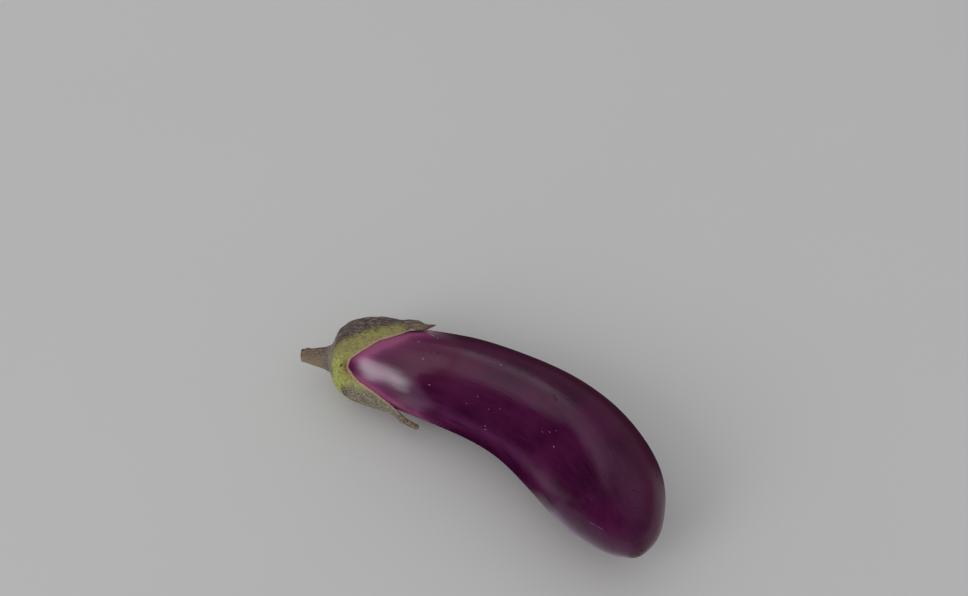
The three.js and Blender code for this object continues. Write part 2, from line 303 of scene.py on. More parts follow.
class Tree:
    """Short hand for building a node material."""

    def __init__(self, name):
        self.material = bpy.data.materials.new(name)
        self.material.use_nodes = True
        self.tree = self.material.node_tree
        self.tree.nodes.clear()

    def node(self, kind, inputs=None, **settings):
        n = self.tree.nodes.new(kind)
        for key, value in settings.items():
            setattr(n, key, value)
        for key, value in (inputs or {}).items():
            self.feed(n.inputs[key], value)
        return n

    def feed(self, socket, value):
        if isinstance(value, bpy.types.NodeSocket):
            self.tree.links.new(value, socket)
        elif isinstance(value, (tuple, list)) and len(value) == 3 and socket.type == "RGBA":
            socket.default_value = (*value, 1.0)
        else:
            socket.default_value = value

    def coords(self):
        return self.node("ShaderNodeTexCoord").outputs["Object"]

    def number(self, name):
        return self.node("ShaderNodeAttribute", attribute_name=name).outputs["Fac"]

    def vector(self, name):
        return self.node("ShaderNodeAttribute", attribute_name=name).outputs["Vector"]

    def math(self, operation, a, b=0.0, c=None, clamp=False):
        inputs = {0: a, 1: b}
        if c is not None:
            inputs[2] = c
        return self.node("ShaderNodeMath", inputs, operation=operation, use_clamp=clamp).outputs[0]

    def stretch(self, vector, scale, location=(0, 0, 0)):
        return self.node("ShaderNodeMapping", {"Vector": vector, "Scale": scale, "Location": location}).outputs[0]

    def noise(self, vector, scale, detail=2.0, roughness=0.5, distortion=0.0, colour=False):
        n = self.node("ShaderNodeTexNoise", {"Vector": vector, "Scale": scale, "Detail": detail,
                                             "Roughness": roughness, "Distortion": distortion})
        return n.outputs["Color" if colour else "Fac"]

    def fit(self, value, a, b, low=0.0, high=1.0, kind="SMOOTHSTEP"):
        return self.node("ShaderNodeMapRange", {"Value": value, 1: a, 2: b, 3: low, 4: high},
                         interpolation_type=kind, clamp=True).outputs[0] if kind == "LINEAR" else \
            self.node("ShaderNodeMapRange", {"Value": value, 1: a, 2: b, 3: low, 4: high},
                      interpolation_type=kind).outputs[0]

    def mix(self, factor, a, b, blend="MIX"):
        n = self.node("ShaderNodeMix", {0: factor, 6: a, 7: b}, data_type="RGBA", blend_type=blend)
        return n.outputs[2]

    def bump(self, height, distance, strength=1.0, normal=None):
        inputs = {"Height": height, "Distance": distance, "Strength": strength}
        if normal is not None:
            inputs["Normal"] = normal
        return self.node("ShaderNodeBump", inputs).outputs[0]

    def finish(self, shader):
        out = self.node("ShaderNodeOutputMaterial")
        self.tree.links.new(shader, out.inputs["Surface"])
        return self.material


# ---------------------------------------------------------------- fruit
# Small marks of growth and handling on the skin: kind, place in mm, direction they run in,
# skin normal there, half-length and half-width in mm
MARKS = [
    ("pale", (-39.5, 5.9, 35.8), (0.89, -0.17, 0.42), (-0.31, 0.44, 0.84), 1.95, 0.42),
    ("pale", (-36.1, 5.5, 37.2), (0.91, -0.20, 0.37), (-0.28, 0.36, 0.89), 0.50, 0.35),
    ("pale", (-41.1, -1.1, 37.6), (0.95, 0.25, 0.18), (-0.22, 0.14, 0.97), 0.60, 0.25),
    ("pale", (-34.0, -6.7, 38.3), (0.95, -0.31, 0.00), (-0.08, -0.25, 0.96), 0.56, 0.28),
    ("pale", (-5.3, 8.7, 42.5), (0.96, 0.27, 0.10), (-0.14, 0.14, 0.98), 0.97, 0.28),
    ("pale", (3.6, -13.0, 31.8), (0.66, -0.36, -0.66), (-0.03, -0.89, 0.45), 0.42, 0.22),
    ("pale", (4.2, -13.7, 30.4), (0.90, 0.14, 0.41), (-0.03, -0.92, 0.38), 0.85, 0.20),
    ("pale", (-25.4, -13.3, 34.8), (1.00, 0.01, -0.08), (0.06, -0.68, 0.73), 0.35, 0.28),
    ("pale", (27.6, -6.8, 44.4), (0.70, -0.60, 0.16), (-0.21, -0.48, 0.85), 0.62, 0.11),
    ("pale", (30.3, -5.6, 45.6), (0.90, -0.34, 0.18), (-0.18, -0.39, 0.90), 0.55, 0.17),
    ("pale", (32.3, -3.9, 46.5), (0.63, 0.67, 0.39), (-0.17, -0.37, 0.91), 0.34, 0.10),
    ("pale", (35.3, -9.4, 44.6), (0.87, -0.48, -0.11), (-0.19, -0.52, 0.83), 0.52, 0.25),
    ("pale", (-4.9, -7.2, 38.6), (1.00, -0.03, -0.02), (-0.00, -0.59, 0.81), 0.29, 0.18),
    ("pale", (2.0, -8.6, 37.6), (1.00, -0.02, 0.05), (-0.05, -0.69, 0.72), 0.28, 0.20),
    ("pale", (6.2, -6.6, 39.8), (0.98, -0.19, -0.01), (-0.11, -0.60, 0.79), 0.24, 0.20),
    ("pale", (-7.6, -11.0, 35.3), (0.98, -0.07, -0.16), (0.06, -0.74, 0.67), 0.29, 0.16),
    ("pale", (64.7, -23.1, 35.4), (1.00, 0.05, -0.04), (0.06, -0.88, 0.47), 1.75, 0.10),
    ("pale", (68.1, -22.8, 35.4), (0.99, 0.14, 0.03), (0.10, -0.86, 0.51), 1.76, 0.10),
    ("dark", (22.1, 8.3, 46.8), (0.95, -0.25, 0.16), (-0.14, 0.09, 0.99), 1.03, 0.22),
    ("dark", (23.6, 7.4, 47.0), (0.92, -0.36, 0.15), (-0.14, 0.05, 0.99), 0.73, 0.20),
    ("dark", (20.1, 8.4, 46.5), (0.99, -0.08, 0.15), (-0.15, 0.08, 0.99), 0.32, 0.18),
    ("dark", (73.1, 8.0, 38.5), (0.72, -0.67, -0.15), (0.61, 0.53, 0.59), 0.76, 0.40),
    ("dark", (80.7, -18.9, 34.1), (0.75, 0.09, -0.66), (0.57, -0.60, 0.56), 0.55, 0.45),
    ("dark", (85.1, -17.8, 29.3), (0.41, 0.91, -0.07), (0.86, -0.36, 0.37), 0.85, 0.70),
    ("dark", (86.1, -11.4, 23.5), (0.11, 0.96, 0.26), (0.98, -0.05, -0.22), 0.42, 0.40),
    ("dark", (72.6, -24.8, 28.6), (0.99, 0.16, -0.00), (0.16, -0.98, 0.14), 0.47, 0.25),
    ("dark", (75.2, -24.0, 29.4), (0.93, 0.32, 0.17), (0.29, -0.94, 0.19), 0.41, 0.25),
    ("dark", (-3.3, 4.3, 42.9), (0.98, -0.18, 0.10), (-0.11, -0.07, 0.99), 0.26, 0.25),
    ("dark", (8.5, 14.5, 43.3), (0.95, -0.19, 0.23), (-0.16, 0.34, 0.93), 0.35, 0.28),
    ("dark", (-26.6, -11.4, 36.4), (1.00, 0.04, -0.00), (0.03, -0.57, 0.82), 0.31, 0.20),
    ("dark", (70.2, -23.8, 33.1), (0.92, -0.07, -0.40), (0.11, -0.91, 0.40), 0.28, 0.20),
    ("smudge", (-30.6, -1.1, 39.6), (0.98, 0.11, 0.16), (-0.15, -0.04, 0.99), 0.95, 0.45),
    ("smudge", (75.5, -10.1, 41.7), (0.75, 0.59, -0.32), (0.48, -0.15, 0.86), 1.02, 0.25),
    ("smudge", (72.2, -5.1, 43.9), (0.80, 0.41, -0.43), (0.47, 0.00, 0.88), 2.04, 0.22),
    ("smudge", (73.4, -5.7, 43.3), (0.19, 0.98, -0.10), (0.50, -0.01, 0.87), 1.07, 0.20),
    ("smudge", (-32.9, -2.6, 39.2), (0.96, 0.23, 0.16), (-0.15, -0.07, 0.99), 0.45, 0.25),
    ("smudge", (76.9, -4.9, 41.0), (0.80, -0.17, -0.58), (0.60, 0.09, 0.79), 0.76, 0.20),
]


def mark_layers():
    """The marks in layers by kind, those of a layer at least 5 mm apart."""
    layers = []
    for mark in MARKS:
        for kind, members in layers:
            if kind == mark[0] and all(math.dist(mark[1], m[1]) > 5 + mark[4] + m[4] for m in members):
                members.append(mark)
                break
        else:
            layers.append((mark[0], [mark]))
    return layers


def mark_attributes(points):
    """For each layer, every point's place in the nearest mark's own units, and far off elsewhere."""
    out = {}
    for k, (kind, members) in enumerate(mark_layers()):
        local = np.full((len(points), 3), 50.0)
        for _, place, along, normal, length, width in members:
            n = np.array(normal) / np.linalg.norm(normal)
            d = np.array(along) - n * (np.array(along) @ n)
            d /= np.linalg.norm(d)
            off = points - np.array(place)
            near = np.linalg.norm(off, axis=1) < 1.8 + length
            local[near] = np.stack([off @ d / length, off @ np.cross(n, d) / width, np.zeros(len(points))], -1)[near]
        out["mark_%s_%d" % (kind, k)] = local
    return out


def marks_mask(t, wobble, kind):
    """One mask for all the marks of a kind, each a ragged ellipse on the skin."""
    total = None
    for k, (sort, _) in enumerate(mark_layers()):
        if sort != kind:
            continue
        local = t.node("ShaderNodeVectorMath", {0: t.vector("mark_%s_%d" % (kind, k)), 1: wobble}, operation="ADD").outputs[0]
        far = t.node("ShaderNodeVectorMath", {0: local}, operation="LENGTH").outputs["Value"]
        mask = t.fit(far, 0.55, 1.2, 1.0, 0.0)
        total = mask if total is None else t.math("MAXIMUM", total, mask)
    return total


def fruit_material():
    t = Tree("eggplant_skin")
    place = t.coords()
    grown = t.vector("grow")
    blush = t.number("blush")
    shade = t.number("shade")
    scar = t.number("scar")

    # body colour: two deep purples drifting into each other, with faint streaks along the growth
    drift = t.noise(place, 48.0, 3.0, 0.55)
    streaks = t.noise(t.stretch(grown, (0.55, 0.55, 0.045)), 1.0, 3.0, 0.6)
    fine = t.noise(t.stretch(grown, (2.6, 2.6, 0.5)), 1.0, 2.0, 0.6)
    body = t.mix(t.fit(drift, 0.34, 0.66), (0.050, 0.0022, 0.033), (0.100, 0.0055, 0.062))
    body = t.mix(t.fit(streaks, 0.35, 0.75, 0.0, 0.5), body, (0.115, 0.009, 0.064))
    body = t.mix(shade, body, (0.098, 0.012, 0.042))
    # painted sheen: a redder, lighter patch high on the upper side stands in for the window's soft reflection
    body = t.mix(t.number("painted_sheen"), body, (0.170, 0.014, 0.062))

    # the skin is paler and pinker where the calyx shaded it, streaked along the growth
    ragged = t.math("ADD", blush, t.math("MULTIPLY", t.math("SUBTRACT", streaks, 0.5), 0.35))
    ragged = t.math("ADD", ragged, t.math("MULTIPLY", t.math("SUBTRACT", fine, 0.5), 0.16))
    pale = t.fit(ragged, 0.06, 0.95, 0.0, 1.0)
    blushed = t.mix(t.fit(blush, 0.45, 1.0), (0.235, 0.020, 0.130), (0.380, 0.085, 0.215))
    colour = t.mix(t.math("MULTIPLY", pale, t.fit(blush, 0.0, 0.12)), body, blushed)

    # fine pale dots of the skin
    cells = t.node("ShaderNodeTexVoronoi", {"Vector": place, "Scale": 330.0, "Randomness": 1.0})
    dot = t.fit(cells.outputs["Distance"], 0.035, 0.075, 1.0, 0.0)
    kept = t.node("ShaderNodeSeparateColor", {"Color": cells.outputs["Color"]})
    dot = t.math("MULTIPLY", dot, t.fit(kept.outputs[0], 0.72, 0.76))
    colour = t.mix(t.math("MULTIPLY", dot, 0.55), colour, (0.30, 0.12, 0.22))

    # marks
    wobble = t.noise(place, 1400.0, 2.0, 0.6, colour=True)
    shift = t.node("ShaderNodeVectorMath", {0: wobble, 1: (0.5, 0.5, 0.5)}, operation="SUBTRACT").outputs[0]
    shift = t.node("ShaderNodeVectorMath", {0: shift, "Scale": 1.3}, operation="SCALE").outputs[0]
    flecks = marks_mask(t, shift, "pale")
    pits = marks_mask(t, shift, "dark")
    smudges = marks_mask(t, shift, "smudge")
    colour = t.mix(t.math("MULTIPLY", flecks, 0.85), colour, (0.46, 0.27, 0.34))
    colour = t.mix(t.math("MULTIPLY", pits, 0.85), colour, (0.010, 0.003, 0.008))
    colour = t.mix(t.math("MULTIPLY", smudges, 0.55), colour, (0.020, 0.004, 0.014))

    # corky scar where the flower was
    cork = t.noise(place, 2600.0, 3.0, 0.7)
    colour = t.mix(scar, colour, t.mix(cork, (0.045, 0.028, 0.022), (0.170, 0.115, 0.080)))

    # wax bloom and handling: the gloss varies softly
    haze = t.noise(place, 95.0, 4.0, 0.6)
    rough = t.fit(haze, 0.25, 0.8, 0.19, 0.29, "LINEAR")
    rough = t.math("ADD", rough, t.math("MULTIPLY", t.math("MAXIMUM", flecks, scar), 0.35))
    rough = t.math("ADD", rough, t.math("MULTIPLY", t.fit(blush, 0.6, 1.0), 0.06), clamp=True)

    grain = t.noise(place, 1500.0, 2.0, 0.5)
    long_grain = t.noise(t.stretch(grown, (1.5, 1.5, 0.12)), 1.0, 2.0, 0.5)
    height = t.math("ADD", t.math("MULTIPLY", grain, 0.25), t.math("MULTIPLY", long_grain, 0.75))
    height = t.math("ADD", height, t.math("MULTIPLY", flecks, 1.6))
    height = t.math("SUBTRACT", height, t.math("MULTIPLY", t.math("MAXIMUM", pits, smudges), 2.6))
    height = t.math("ADD", height, t.math("MULTIPLY", t.math("MULTIPLY", scar, cork), 3.0))
    normal = t.bump(height, 0.00009, 1.0)

    shader = t.node("ShaderNodeBsdfPrincipled", {
        "Base Color": colour, "Roughness": rough, "Normal": normal, "IOR": 1.46,
        "Specular IOR Level": 0.5}).outputs[0]
    return t.finish(shader)


def build_fruit():
    # rings every 0.75 mm, closing up at the two ends
    head = np.array([0.3, 0.7, 1.2, 1.8, 2.5, 3.2])
    tail = SKIN_ARC - np.array([4.6, 4.1, 3.65, 3.25, 2.9, 2.6, 2.3, 2.05, 1.8, 1.6, 1.4, 1.2, 1.0, 0.8, 0.6, 0.4, 0.2])
    middle = np.linspace(3.95, SKIN_ARC - 5.2, 246)
    arcs = np.concatenate([head, middle, tail])
    cols = 240
    u = np.arange(cols) / cols * 2 * np.pi
    phis = u - 0.25 * np.sin(u - 1.5 * np.pi)
    arc, phi = np.meshgrid(arcs, phis, indexing="ij")
    p = skin(arc, phi)
    n = skin_normal(arc, phi)
    left = SKIN_ARC - arc
    # the blossom-end scar: a shallow dimple with a small corky button
    scar_edge = 1.5 + 0.25 * noise3(np.stack([2.2 * np.cos(phi), 2.2 * np.sin(phi), 0 * phi], -1), 9)
    dimple = -0.45 * np.exp(-(left / 2.3) ** 2) + 0.35 * (1 - smooth(left, 0.5 * scar_edge, scar_edge))
    dimple = dimple + 0.10 * noise3(grow(arc, phi) / 0.55, 12) * (1 - smooth(left, 0.8 * scar_edge, 1.25 * scar_edge))
    p = p + n * (lumps(arc, phi) + dimple)[..., None]
    p = press_flat(p)
    end = skin(np.array(SKIN_ARC), np.array(0.0)) - POLE_AXIS * 0
    tip_dir = np.array([math.cos(float(heading(FRUIT_LENGTH))), math.sin(float(heading(FRUIT_LENGTH))), 0])
    end = end + tip_dir * (-0.12)
    verts = np.concatenate([[POLE], p.reshape(-1, 3), [end]])
    faces = ring_faces(len(arcs), cols, 0, len(verts) - 1)

    # distance over the skin from the calyx edge
    deg = np.arange(0, 360, 0.05)
    rim = skin(edge_at(deg), np.radians(deg))
    tree = kdtree.KDTree(len(rim))
    for k, q in enumerate(rim):
        tree.insert(q, k)
    tree.balance()
    flat_p = skin(arc, phi).reshape(-1, 3)
    reach = arc.ravel() < 120
    dist = np.full(len(flat_p), 200.0)
    for k in np.flatnonzero(reach):
        dist[k] = tree.find(flat_p[k])[2]
    dist = dist.reshape(arc.shape)
    degs = np.degrees(phi)
    covered = arc < edge_at(degs)
    out = np.where(covered, 0.0, dist)
    low = np.exp(-(turn(degs, 188) / 29) ** 2)
    high = np.exp(-(turn(degs, 95) / 45) ** 2)
    vertex = np.exp(-(turn(degs, 137) / 16) ** 2) * np.exp(-((arc - 19) / 5) ** 2)
    blush = (0.80 + 0.3 * high) * np.exp(-out / (2.1 + 3.0 * high)) + 0.60 * low * np.exp(-(out / 8.0) ** 1.2)
    blush = blush + 0.26 * high * np.exp(-(out / 6.0) ** 2) + 0.20 * low * np.exp(-out / 30) + 0.20 * np.exp(-out / 15)
    blush = np.clip(blush, 0, 1) * (1 - 0.55 * vertex)
    shade = 0.55 * smooth(degs, 85, 40) * np.ones_like(degs)
    # painted sheen: a redder, lighter patch on the upper side where the window's soft reflection falls
    painted_sheen = 0.55 * np.exp(-(turn(degs, 98) / 26) ** 2 - ((arc - 54) / 19) ** 2)
    scar = (1 - smooth(left, 0.75 * scar_edge, 1.1 * scar_edge))
    pad = lambda a, first, last: np.concatenate([[first], a.ravel(), [last]])
    g = np.concatenate([[[0, 0, 0]], grow(arc, phi).reshape(-1, 3), [[0, 0, SKIN_ARC]]])
    return make_piece("fruit_skin", verts, faces, "root", "fruit", fruit_material(), {
        "grow": g, "blush": pad(blush, 1.0, 0.0), "shade": pad(shade, 0.0, 0.0), "painted_sheen": pad(painted_sheen, 0.0, 0.0), "scar": pad(scar, 0.0, 1.0),
        **mark_attributes(verts)})


# ---------------------------------------------------------------- calyx
def ridge_angle(arc):
    """Where the crest of the upper lobe runs, in degrees."""
    return np.interp(arc, [0, 8, 13, 18, 22, 27.5, 33, 40, 45], [108, 103, 94, 87, 80, 68, 58, 50, 46])


def calyx_material():
    t = Tree("eggplant_calyx")
    grown = t.vector("grow")
    green = t.number("green")
    low = t.number("low")
    rim = t.number("rim")
    tip = t.number("tip")
    crown = t.number("crown")
    vertex = t.number("vertex")
    relief = t.number("relief")

    fibres = t.noise(t.stretch(grown, (1.6, 1.6, 0.22)), 1.0, 4.0, 0.65)
    long_fibres = t.noise(t.stretch(grown, (3.4, 3.4, 0.16)), 1.0, 3.0, 0.6, 0.4)
    mottle = t.noise(grown, 0.85, 4.0, 0.65)
    grain = t.noise(t.stretch(grown, (1.0, 1.0, 0.7)), 1.9, 3.0, 0.75)

    patch = t.noise(t.stretch(grown, (0.95, 0.95, 0.36)), 1.0, 4.0, 0.7, 0.3)
    leaf = t.mix(t.fit(patch, 0.34, 0.66), (0.590, 0.590, 0.175), (0.760, 0.860, 0.190))
    leaf = t.mix(t.math("MULTIPLY", t.number("olive"), 0.72), leaf, (0.400, 0.325, 0.135))
    leaf = t.mix(t.fit(long_fibres, 0.48, 0.34, 0.0, 0.78), leaf, (0.200, 0.180, 0.075))
    leaf = t.mix(t.fit(grain, 0.52, 0.70, 0.0, 0.7), leaf, (0.690, 0.640, 0.390))
    leaf = t.mix(t.fit(mottle, 0.47, 0.37, 0.0, 0.7), leaf, (0.270, 0.215, 0.125))
    leaf = t.mix(t.fit(green, 1.0, 0.35, 0.0, 0.55), leaf, (0.215, 0.185, 0.090))
    purple = t.mix(t.fit(long_fibres, 0.38, 0.60), (0.045, 0.026, 0.034), (0.235, 0.160, 0.160))
    purple = t.mix(t.fit(fibres, 0.52, 0.64, 0.0, 0.72), purple, (0.440, 0.370, 0.310))
    purple = t.mix(t.fit(mottle, 0.53, 0.68, 0.0, 0.35), purple, (0.230, 0.205, 0.105))
    beige = t.mix(t.fit(grain, 0.37, 0.63), (0.150, 0.120, 0.080), (0.660, 0.580, 0.440))
    beige = t.mix(t.fit(patch, 0.48, 0.68, 0.0, 0.55), beige, (0.270, 0.285, 0.115))
    beige = t.mix(t.fit(mottle, 0.50, 0.36, 0.0, 0.5), beige, (0.200, 0.145, 0.130))

    edge_of_green = t.math("ADD", green, t.math("MULTIPLY", t.math("SUBTRACT", mottle, 0.5), 1.5))
    edge_of_green = t.math("ADD", edge_of_green, t.math("MULTIPLY", t.math("SUBTRACT", long_fibres, 0.5), 1.8))
    colour = t.mix(t.fit(edge_of_green, 0.14, 0.82), purple, leaf)
    edge_of_low = t.math("ADD", low, t.math("MULTIPLY", t.math("SUBTRACT", mottle, 0.5), 1.3))
    edge_of_low = t.math("ADD", edge_of_low, t.math("MULTIPLY", t.math("SUBTRACT", fibres, 0.5), 1.5))
    colour = t.mix(t.fit(edge_of_low, 0.12, 0.86), colour, beige)
    colour = t.mix(t.math("MULTIPLY", tip, 0.8), colour,
                   t.mix(t.fit(grain, 0.35, 0.65), (0.120, 0.080, 0.055), (0.450, 0.375, 0.225)))
    colour = t.mix(t.math("MULTIPLY", crown, 0.75), colour,
                   t.mix(t.fit(fibres, 0.35, 0.65), (0.210, 0.165, 0.160), (0.460, 0.400, 0.350)))
    # painted shade: darker in the hollows of the relief; painted highlight: lighter on its crests
    colour = t.mix(t.fit(relief, -0.15, -0.75, 0.0, 0.55), colour, (0.070, 0.050, 0.035))
    colour = t.mix(t.fit(relief, 0.25, 0.9, 0.0, 0.35), colour, (0.560, 0.520, 0.340))
    # russet towards the notch and a thin pinkish edge
    colour = t.mix(t.math("MULTIPLY", vertex, t.fit(mottle, 0.35, 0.65, 0.4, 1.0)), colour, (0.200, 0.085, 0.055))
    band = t.fit(rim, 0.25, 0.78, 1.0, 0.0)
    colour = t.mix(t.math("MULTIPLY", t.math("MULTIPLY", band, t.math("SUBTRACT", 1.0, tip)), t.fit(fibres, 0.3, 0.6, 0.45, 0.9)),
                   colour, (0.700, 0.450, 0.370))
    colour = t.mix(t.math("MULTIPLY", t.number("straw"), 0.95), colour, (0.860, 0.790, 0.660))
    spot = t.number("spot")
    colour = t.mix(t.math("MULTIPLY", t.fit(spot, 0.1, 0.9), t.fit(grain, 0.25, 0.50, 0.35, 0.95)), colour, (0.050, 0.026, 0.014))

    height = t.math("ADD", t.math("MULTIPLY", fibres, 1.0), t.math("MULTIPLY", long_fibres, 0.7))
    height = t.math("ADD", height, t.math("MULTIPLY", grain, 0.8))
    normal = t.bump(height, 0.00050, 1.0)
    rough = t.fit(mottle, 0.3, 0.7, 0.58, 0.80, "LINEAR")
    shader = t.node("ShaderNodeBsdfPrincipled", {
        "Base Color": colour, "Roughness": rough, "Normal": normal, "IOR": 1.45,
        "Specular IOR Level": 0.35}).outputs[0]
    return t.finish(shader)


def build_calyx():
    # columns crowd together where the edge runs steeply, at the lobes' tips
    fine_deg = np.arange(0, 360.001, 0.05)
    e = edge_at(fine_deg)
    pace = np.hypot(16.5 * np.radians(0.05), 0.42 * np.diff(e))
    run = np.r_[0, np.cumsum(pace)]
    cols = 600
    degs = np.interp(np.arange(cols) / cols * run[-1], run, fine_deg)
    ragged = 0.10 * noise3(np.stack([np.cos(np.radians(degs)) * 40, np.sin(np.radians(degs)) * 40, 0 * degs], -1), 21)
    ragged += 0.22 * noise3(np.stack([np.cos(np.radians(degs)) * 14, np.sin(np.radians(degs)) * 14, 0 * degs], -1), 22)
    ends = edge_at(degs) + ragged

    rim_deg = np.arange(0, 360, 0.03)
    rag = 0.10 * noise3(np.stack([np.cos(np.radians(rim_deg)) * 40, np.sin(np.radians(rim_deg)) * 40, 0 * rim_deg], -1), 21)
    rag += 0.22 * noise3(np.stack([np.cos(np.radians(rim_deg)) * 14, np.sin(np.radians(rim_deg)) * 14, 0 * rim_deg], -1), 22)
    rim_pts = skin(edge_at(rim_deg) + rag, np.radians(rim_deg))
    tree = kdtree.KDTree(len(rim_pts))
    for k, q in enumerate(rim_pts):
        tree.insert(q, k)
    tree.balance()

    def layer(rows, split, split_rows, power):
        first = np.linspace(0, split, split_rows + 1)[1:]
        u = np.linspace(0, 1, rows - split_rows + 1)[1:]
        share = 1 - (1 - u) ** power
        arc = np.concatenate([np.repeat(first[:, None], cols, 1),
                              split + (ends[None, :] - split) * share[:, None]])
        return arc, np.repeat(degs[None, :], rows, 0)

    def near_rim(arc, deg):
        pts = skin(arc, np.radians(deg)).reshape(-1, 3)
        return np.array([tree.find(q)[2] for q in pts]).reshape(arc.shape)

    def thickness(arc, deg):
        t = np.clip(arc / edge_at(deg), 0, 1)
        body = lerp(CALYX_CROWN, CALYX_THICK, smooth(arc, 3, 11))
        rolled = 1.35 * np.exp(-(turn(deg, 205) / 11) ** 2) * smooth(arc, 40, 47)
        curled = 0.95 * np.exp(-(turn(deg, 50) / 9) ** 2) * smooth(arc, 38, 44)
        curled = curled + 1.5 * np.exp(-(turn(deg, 29) / 9) ** 2) * smooth(arc, 33, 38) * (1 - smooth(arc, 41, 45))
        thin = 0.75 * np.exp(-(turn(deg, 8) / 12) ** 2) * smooth(arc, 30, 42)
        return rib_at(deg, arc) + lerp(body, CALYX_RIM, smooth(t, 0.5, 1)) + rolled + curled - thin * body * 0.8

    def relief_at(arc, deg, purple, low):
        g = grow(arc, np.radians(deg))
        fibres = noise3(g / np.array([0.95, 0.95, 7.5]), 31) * 0.6 + noise3(g / np.array([0.5, 0.5, 3.6]), 32) * 0.4
        folds = fractal(g / np.array([2.1, 2.1, 8.0]), 33, 2)
        knots = fractal(g / 1.25, 34, 2)
        h = 0.22 * fibres + 0.16 * knots
        h = h + 0.40 * purple * folds + 0.22 * low * fractal(g / 0.95, 35, 2)
        folds_crown = np.cos(np.radians(5 * deg + 40)) * smooth(arc, 3, 8) * (1 - smooth(arc, 14, 24))
        h = h + 0.16 * folds_crown
        return h, fibres * 0.5 + folds * purple * 0.9 + knots * 0.4

    def zones(arc, deg):
        crest = ridge_angle(arc)
        over = np.mod(deg - crest + 540, 360) - 180          # degrees past the crest, towards the notch
        wide = 16.5 * np.radians(1) * over
        green_up = smooth(wide, -4.2, 4.4) * (1 - smooth(deg, 160, 186) * smooth(arc, 14, 20)) * (deg > 20) * (deg < 240)
        root = (1 - smooth(arc, 12.5, 19.5)) * smooth(turn(deg, 250), 30, 75)
        root = np.where(turn(deg, 60) < 50, root * (1 - smooth(arc, 7, 12)) * 0.8, root)
        low = smooth(deg, 142, 182) * (1 - smooth(deg, 232, 246)) * smooth(arc, 15, 23)
        other = np.where((deg > 240) | (deg < 22), 0.55 * (1 - smooth(arc, 8, 30)), 0)
        green = np.clip(np.maximum(np.maximum(green_up * (arc > 0), root), other), 0, 1)
        green = green * (1 - smooth(arc, 36, 42) * (turn(deg, 40) < 40))
        return green, low

    arc_o, deg_o = layer(92, 9.0, 24, 1.35)
    arc_i, deg_i = layer(30, 9.0, 6, 1.5)
    arc_i, deg_i = arc_i[:-1], deg_i[:-1]

    def heights(arc, deg, share):
        d = near_rim(arc, deg)
        t = thickness(arc, deg)
        w = 0.6 * t
        q = np.sqrt(np.clip(1 - (1 - np.clip(d / w, 0, 1)) ** 2, 0, 1))
        gap = lerp(-0.18, 0.35, smooth(d, 0.4, 5.0))
        base = gap + lift_at(deg, arc) + lumps(arc, np.radians(deg))
        return base + t * (0.5 + share * 0.5 * q), d, q

    green, low = zones(arc_o, deg_o)
    purple = (1 - green) * (1 - low)
    h_o, d_o, q_o = heights(arc_o, deg_o, 1.0)
    rel, rel_look = relief_at(arc_o, deg_o, purple, low)
    crest_gap = 16.5 * np.radians(1) * (np.mod(deg_o - ridge_angle(arc_o) + 540, 360) - 180)
    crest = 0.34 * np.exp(-(crest_gap / 1.5) ** 2) * smooth(arc_o, 8, 14) * (1 - smooth(arc_o, 34, 42)) * (arc_o < 45)
    outer = skin(arc_o, np.radians(deg_o)) + skin_normal(arc_o, np.radians(deg_o)) * (h_o + (rel + crest) * q_o)[..., None]
    # the crown meets the stem in a soft shoulder instead of a dome
    side = np.array([-POLE_AXIS[1], POLE_AXIS[0], 0.0])
    stem_foot = POLE + side * STEM_BASE_SHIFT[0] + np.array([0, 0, STEM_BASE_SHIFT[1]])
    off = outer - stem_foot
    away = np.linalg.norm(off - (off @ POLE_AXIS)[..., None] * POLE_AXIS, axis=-1)
    collar = 1.25 * np.exp(-(np.maximum(away - 5.0, 0) / 1.5) ** 1.6) * (1 + 0.25 * noise3(grow(arc_o, np.radians(deg_o)) / 1.7, 39))
    axial = (outer - POLE) @ POLE_AXIS
    lowest = CROWN_SEAT - 0.25
    soft = 0.45
    raised = lowest + soft * np.logaddexp(0, (axial - lowest) / soft)
    mixed = np.where(axial < lowest + 6 * soft, raised, axial)
    outer = outer + (mixed - collar - axial)[..., None] * POLE_AXIS
    outer[..., 2] = np.maximum(outer[..., 2], 0.0)

    h_i, _, _ = heights(arc_i, deg_i, -1.0)
    inner = skin(arc_i, np.radians(deg_i)) + skin_normal(arc_i, np.radians(deg_i)) * h_i[..., None]
    inner[..., 2] = np.maximum(inner[..., 2], 0.15)

    rings = np.concatenate([outer, inner[::-1]])
    top = outer[0].mean(0)
    bottom = POLE - POLE_AXIS * 0.35
    verts = np.concatenate([[top], rings.reshape(-1, 3), [bottom]])
    faces = ring_faces(len(rings), cols, 0, len(verts) - 1)

    def both(a_out, a_in, first, last):
        return np.concatenate([[first], a_out.ravel(), a_in[::-1].ravel(), [last]])

